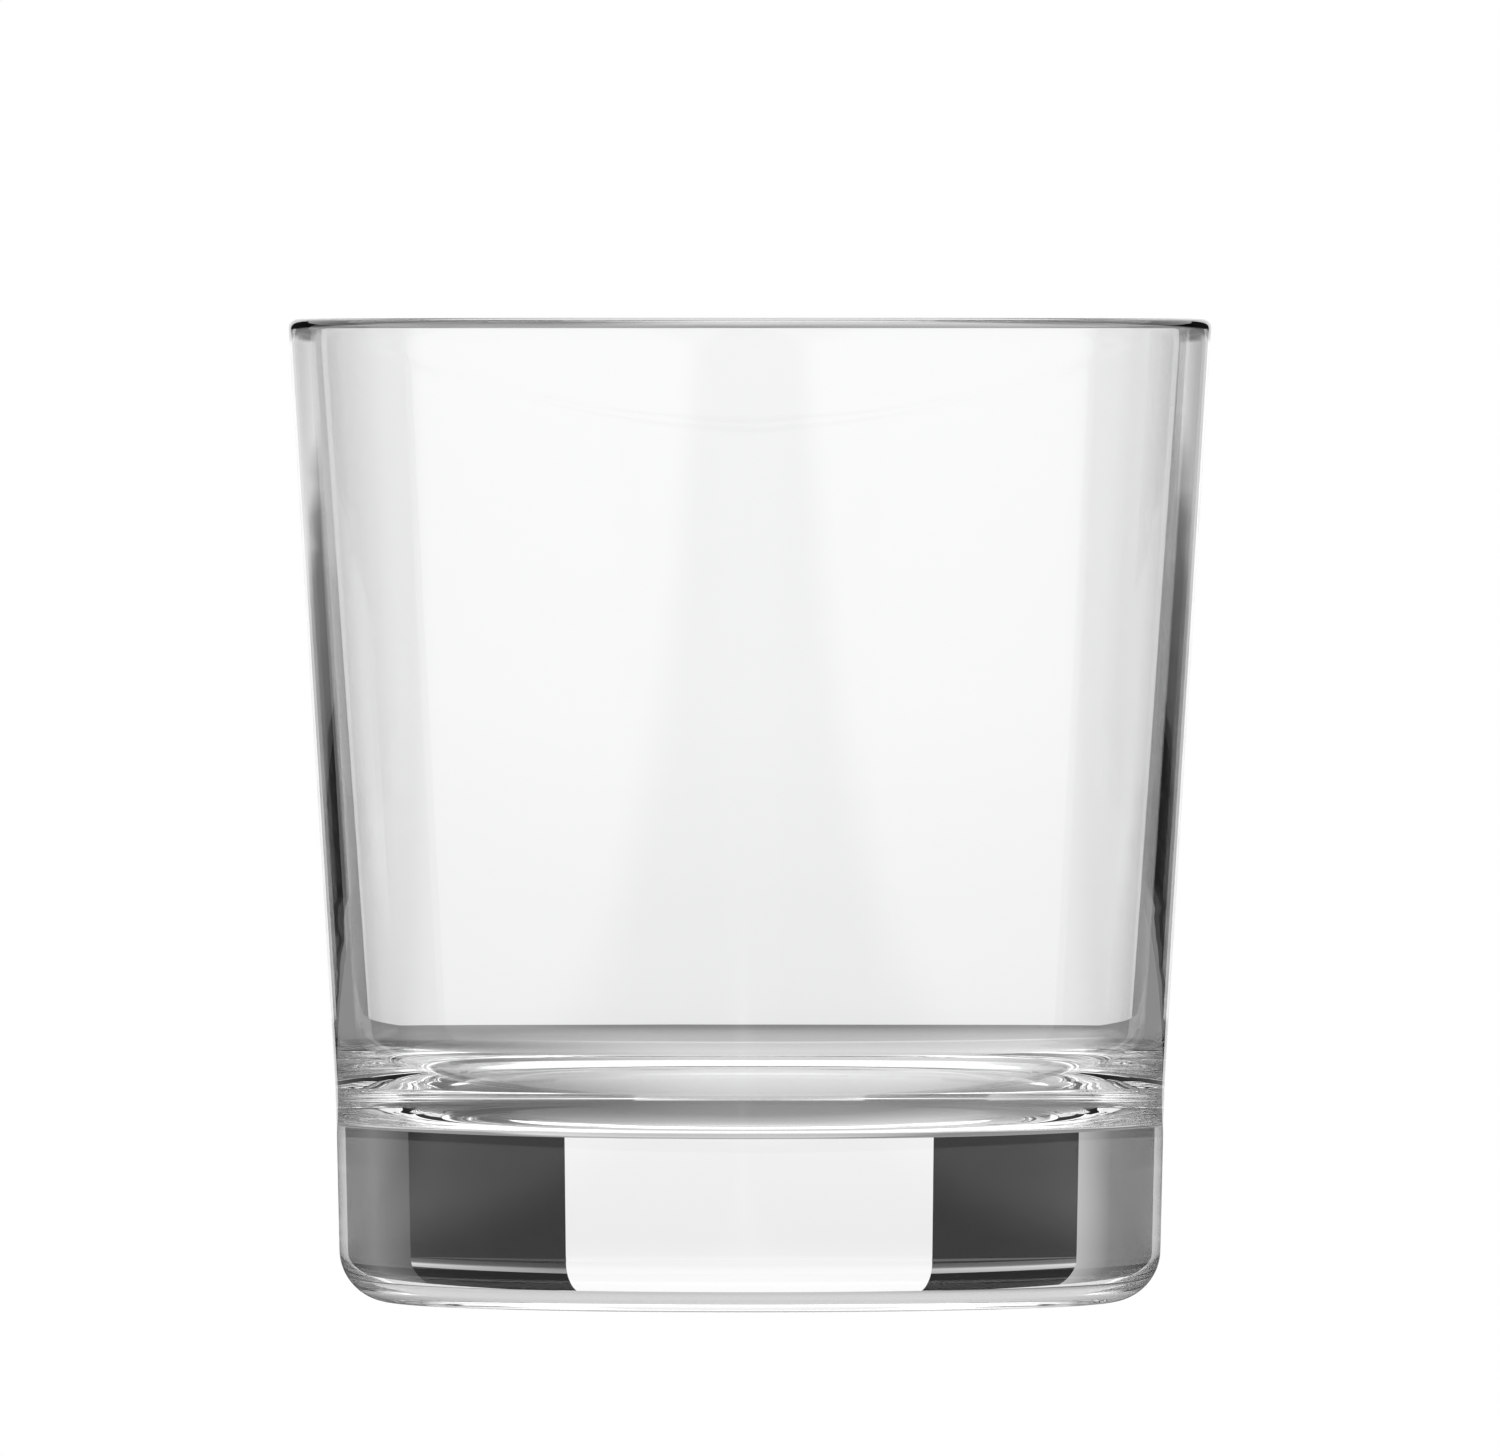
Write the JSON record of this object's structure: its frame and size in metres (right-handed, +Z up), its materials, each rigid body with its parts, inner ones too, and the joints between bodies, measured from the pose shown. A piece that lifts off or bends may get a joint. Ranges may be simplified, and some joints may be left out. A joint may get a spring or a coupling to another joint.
{
  "type": "whiskey tumbler",
  "caption": "Clear round drinking tumbler with a thick solid base, a near-upright base band, a straight tapered wall, a rounded lip and a dished cavity floor.",
  "frame": {"origin": "middle of the foot, on the surface that the glass stands on", "axes": "+Z up along the glass's axis, from the foot to the mouth; the glass is round, so +X and +Y are equivalent"},
  "size_m": [0.0878, 0.0878, 0.0936],
  "materials": {
    "clear_glass": "fire-polished, clear and colourless"
  },
  "bodies": {
    "root": {"glass_body": "clear_glass"}
  },
  "joints": []
}
